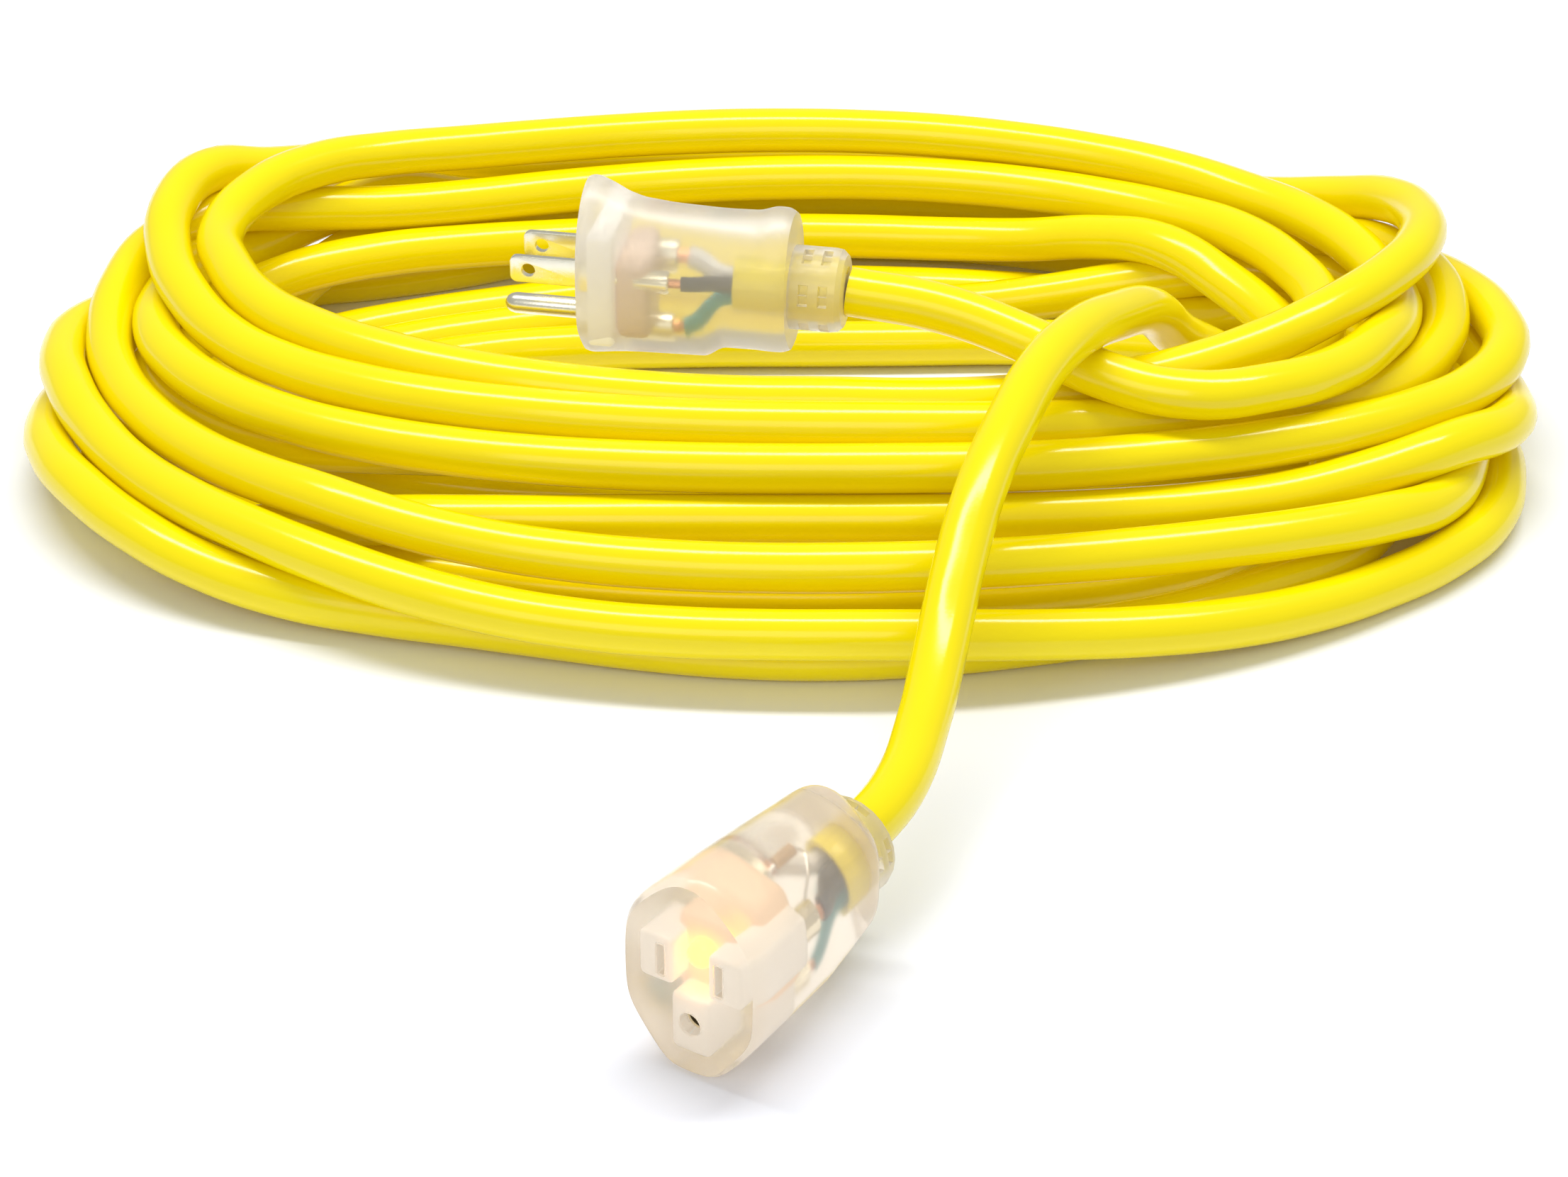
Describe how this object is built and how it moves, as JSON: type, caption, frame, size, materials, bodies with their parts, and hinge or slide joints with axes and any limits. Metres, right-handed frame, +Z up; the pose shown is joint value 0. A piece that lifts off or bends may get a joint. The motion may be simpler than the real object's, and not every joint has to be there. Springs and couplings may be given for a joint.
{
  "type": "extension cord",
  "caption": "Coiled heavy-duty yellow extension cord with a clear three-prong plug and a clear lighted connector.",
  "frame": {"origin": "on the floor, under the middle of the box round the plug and the connector", "axes": "+Z up, +X to the coil's right end and +Y from the connector towards the coil, seen from in front"},
  "size_m": [0.3461, 0.3679, 0.0765],
  "materials": {
    "clear_moulding": "clear flexible vinyl, glossy, lightly frosted",
    "carrier": "pale translucent moulded block",
    "blade_metal": "bright, lightly plated",
    "copper": "bare stranded wire",
    "yellow_jacket": "glossy soft vinyl",
    "black_insulation": "satin",
    "white_insulation": "satin",
    "green_insulation": "satin",
    "lamp": "clear with an amber glow",
    "resistor": "ceramic body",
    "lead": "tinned wire"
  },
  "bodies": {
    "root": {"plug_body": "clear_moulding", "plug_blade_carrier": "carrier", "plug_hot_blade": "blade_metal", "plug_neutral_blade": "blade_metal", "plug_ground_pin": "blade_metal", "plug_jacket_end": "yellow_jacket", "plug_hot_conductor": "black_insulation", "plug_neutral_conductor": "white_insulation", "plug_ground_conductor": "green_insulation", "plug_hot_copper": "copper", "plug_neutral_copper": "copper", "plug_ground_copper": "copper", "connector_body": "clear_moulding", "connector_contact_carrier": "carrier", "connector_hot_contact": "blade_metal", "connector_neutral_contact": "blade_metal", "connector_ground_contact": "blade_metal", "connector_jacket_end": "yellow_jacket", "connector_hot_conductor": "black_insulation", "connector_neutral_conductor": "white_insulation", "connector_ground_conductor": "green_insulation", "connector_hot_copper": "copper", "connector_neutral_copper": "copper", "connector_ground_copper": "copper", "lamp_glass": "lamp", "lamp_resistor": "resistor", "lamp_resistor_lead": "lead", "lamp_neutral_lead": "lead", "resistor_hot_lead": "lead", "cord_coil": "yellow_jacket", "cord_plug_tail": "yellow_jacket", "cord_connector_tail": "yellow_jacket"}
  },
  "joints": []
}
